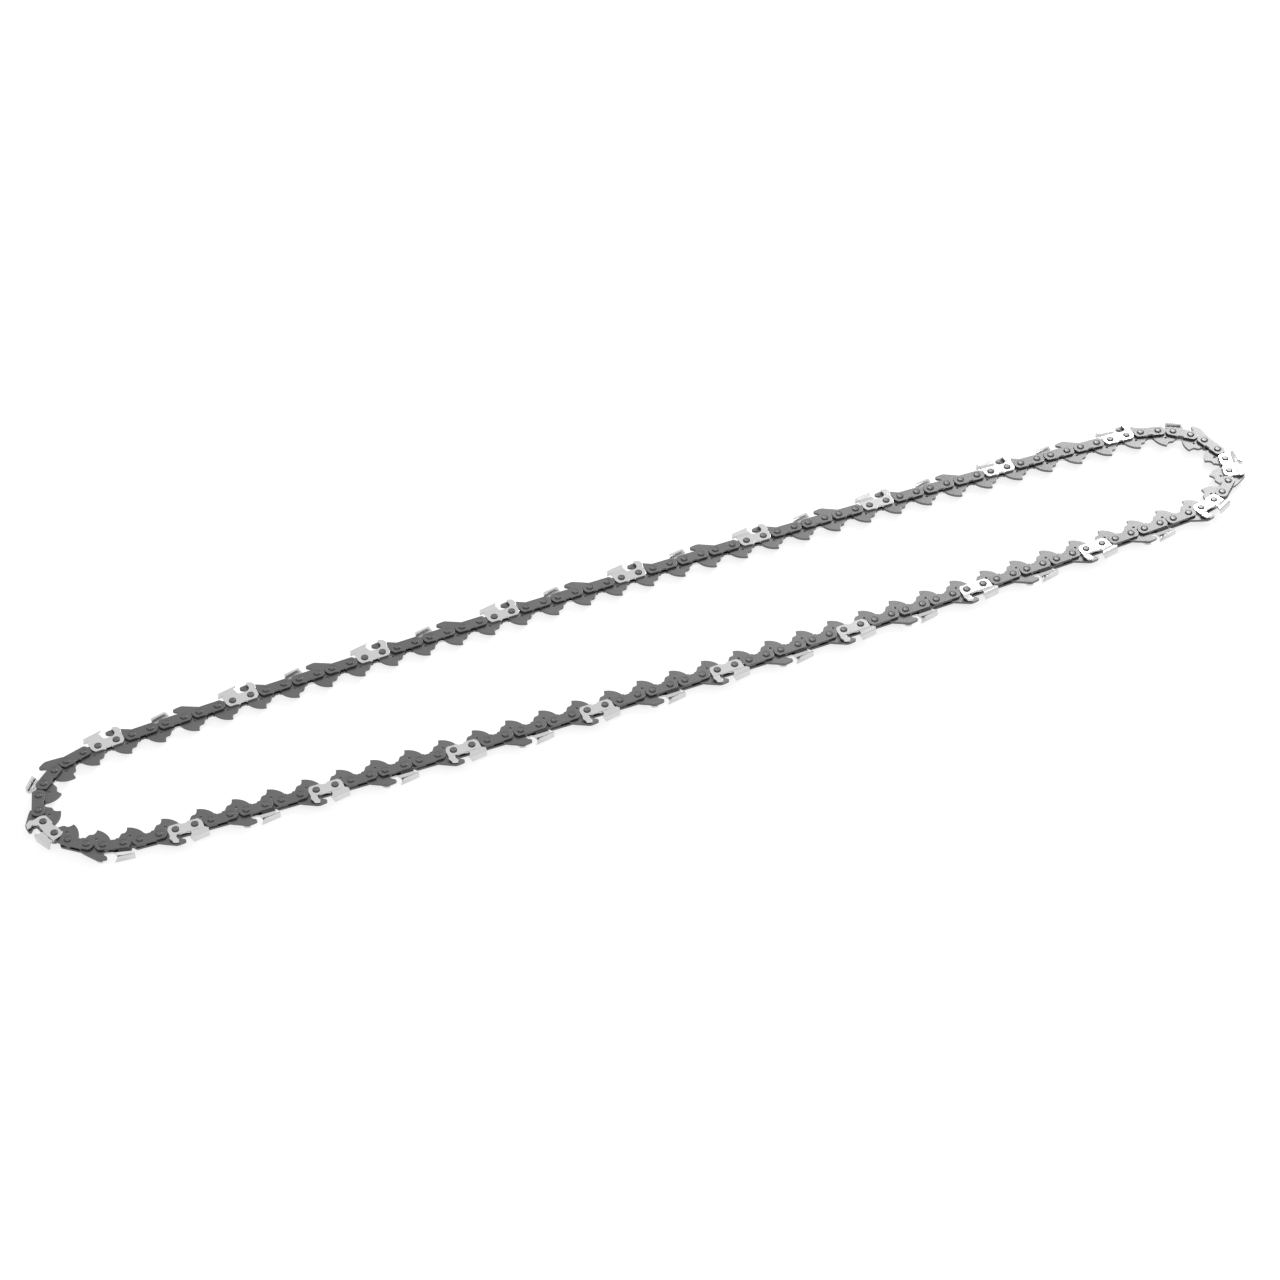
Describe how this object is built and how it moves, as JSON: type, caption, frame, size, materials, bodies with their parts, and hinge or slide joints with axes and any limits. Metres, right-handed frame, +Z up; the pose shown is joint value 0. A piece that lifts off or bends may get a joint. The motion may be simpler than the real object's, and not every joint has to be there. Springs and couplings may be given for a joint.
{
  "type": "chainsaw chain",
  "caption": "Closed saw chain loop with hooked drive links, tie straps, rivets and chisel cutters with depth gauges, hinged to flex.",
  "frame": {"origin": "middle of the loop, on the surface the chain lies on", "axes": "+X along the straight runs, in the travel direction of the +Y run; +Y across the loop; +Z up, along the rivets"},
  "size_m": [0.626, 0.0924, 0.0059],
  "materials": {
    "drive_link_steel": "dark tumbled steel",
    "strap_steel": "dark tumbled steel, straight edges",
    "rivet_steel": "dark steel with peened heads",
    "cutter_plating": "satin industrial chrome plating"
  },
  "bodies": {
    "far_left_run": {"far_left_drive_links": "drive_link_steel", "far_left_bumper_links": "drive_link_steel", "far_left_upper_cutters": "cutter_plating", "far_left_lower_cutters": "cutter_plating", "far_left_tie_straps": "strap_steel", "far_left_rivets": "rivet_steel"},
    "far_right_run": {"far_right_drive_links": "drive_link_steel", "far_right_bumper_links": "drive_link_steel", "far_right_upper_cutters": "cutter_plating", "far_right_lower_cutters": "cutter_plating", "far_right_tie_straps": "strap_steel", "far_right_rivets": "rivet_steel"},
    "near_right_run": {"near_right_drive_links": "drive_link_steel", "near_right_bumper_links": "drive_link_steel", "near_right_upper_cutters": "cutter_plating", "near_right_lower_cutters": "cutter_plating", "near_right_tie_straps": "strap_steel", "near_right_rivets": "rivet_steel"},
    "near_left_run": {"near_left_drive_links": "drive_link_steel", "near_left_bumper_links": "drive_link_steel", "near_left_upper_cutters": "cutter_plating", "near_left_lower_cutters": "cutter_plating", "near_left_tie_straps": "strap_steel", "near_left_rivets": "rivet_steel"},
    "right_turn_links_1_to_3": {"right_turn_1_drive_link": "drive_link_steel", "right_turn_2_cutter": "cutter_plating", "right_turn_2_tie_strap": "strap_steel", "right_turn_2_rivets": "rivet_steel", "right_turn_3_bumper_link": "drive_link_steel"},
    "right_turn_links_4_to_6": {"right_turn_4_tie_strap_a": "strap_steel", "right_turn_4_tie_strap_b": "strap_steel", "right_turn_4_rivets": "rivet_steel", "right_turn_5_drive_link": "drive_link_steel", "right_turn_6_cutter": "cutter_plating", "right_turn_6_tie_strap": "strap_steel", "right_turn_6_rivets": "rivet_steel"},
    "right_turn_links_7_to_9": {"right_turn_7_bumper_link": "drive_link_steel", "right_turn_8_tie_strap_a": "strap_steel", "right_turn_8_tie_strap_b": "strap_steel", "right_turn_8_rivets": "rivet_steel", "right_turn_9_drive_link": "drive_link_steel"},
    "left_turn_links_1_to_3": {"left_turn_1_bumper_link": "drive_link_steel", "left_turn_2_tie_strap_a": "strap_steel", "left_turn_2_tie_strap_b": "strap_steel", "left_turn_2_rivets": "rivet_steel", "left_turn_3_drive_link": "drive_link_steel"},
    "left_turn_links_4_to_6": {"left_turn_4_cutter": "cutter_plating", "left_turn_4_tie_strap": "strap_steel", "left_turn_4_rivets": "rivet_steel", "left_turn_5_bumper_link": "drive_link_steel", "left_turn_6_tie_strap_a": "strap_steel", "left_turn_6_tie_strap_b": "strap_steel", "left_turn_6_rivets": "rivet_steel"},
    "left_turn_links_7_to_9": {"left_turn_7_drive_link": "drive_link_steel", "left_turn_8_cutter": "cutter_plating", "left_turn_8_tie_strap": "strap_steel", "left_turn_8_rivets": "rivet_steel", "left_turn_9_bumper_link": "drive_link_steel"}
  },
  "joints": [
    {"name": "far_run_hinge", "type": "hinge", "parent": "far_left_run", "child": "far_right_run", "pos_m": [0.00402, 0.03761, 0.00295], "axis": [0, 0, -1], "range_deg": [-8, 33.9]},
    {"name": "right_turn_hinge_1", "type": "hinge", "parent": "far_right_run", "child": "right_turn_links_1_to_3", "pos_m": [0.28429, 0.03127, 0.00295], "axis": [0, 0, -1], "range_deg": [-19.17, 22.83]},
    {"name": "right_turn_hinge_4", "type": "hinge", "parent": "right_turn_links_1_to_3", "child": "right_turn_links_4_to_6", "pos_m": [0.30227, 0.016, 0.00295], "axis": [0, 0, -1], "range_deg": [-17.2, 17.2]},
    {"name": "right_turn_hinge_7", "type": "hinge", "parent": "right_turn_links_4_to_6", "child": "right_turn_links_7_to_9", "pos_m": [0.30256, -0.00864, 0.00295], "axis": [0, 0, -1], "range_deg": [-24.72, 17.28]},
    {"name": "right_turn_hinge_10", "type": "hinge", "parent": "right_turn_links_7_to_9", "child": "near_right_run", "pos_m": [0.28496, -0.02434, 0.00295], "axis": [0, 0, -1], "range_deg": [-19.17, 22.83]},
    {"name": "left_turn_hinge_10", "type": "hinge", "parent": "far_left_run", "child": "left_turn_links_7_to_9", "pos_m": [-0.28496, 0.02434, 0.00295], "axis": [0, 0, 1], "range_deg": [-19.17, 22.83]},
    {"name": "left_turn_hinge_7", "type": "hinge", "parent": "left_turn_links_7_to_9", "child": "left_turn_links_4_to_6", "pos_m": [-0.30256, 0.00864, 0.00295], "axis": [0, 0, 1], "range_deg": [-24.72, 17.28]},
    {"name": "left_turn_hinge_4", "type": "hinge", "parent": "left_turn_links_4_to_6", "child": "left_turn_links_1_to_3", "pos_m": [-0.30227, -0.016, 0.00295], "axis": [0, 0, 1], "range_deg": [-24.72, 17.28]},
    {"name": "left_turn_hinge_1", "type": "hinge", "parent": "left_turn_links_1_to_3", "child": "near_left_run", "pos_m": [-0.28429, -0.03127, 0.00295], "axis": [0, 0, 1], "range_deg": [-19.17, 22.83]}
  ],
  "couplings": [
    {"joint": "right_turn_hinge_1", "follows": "far_run_hinge", "ratio": -0.5},
    {"joint": "right_turn_hinge_10", "follows": "far_run_hinge", "ratio": -0.5},
    {"joint": "left_turn_hinge_1", "follows": "far_run_hinge", "ratio": -0.5},
    {"joint": "left_turn_hinge_10", "follows": "far_run_hinge", "ratio": -0.5},
    {"joint": "right_turn_hinge_7", "follows": "right_turn_hinge_4", "ratio": -1},
    {"joint": "left_turn_hinge_4", "follows": "right_turn_hinge_4", "ratio": 1},
    {"joint": "left_turn_hinge_7", "follows": "right_turn_hinge_4", "ratio": -1}
  ]
}
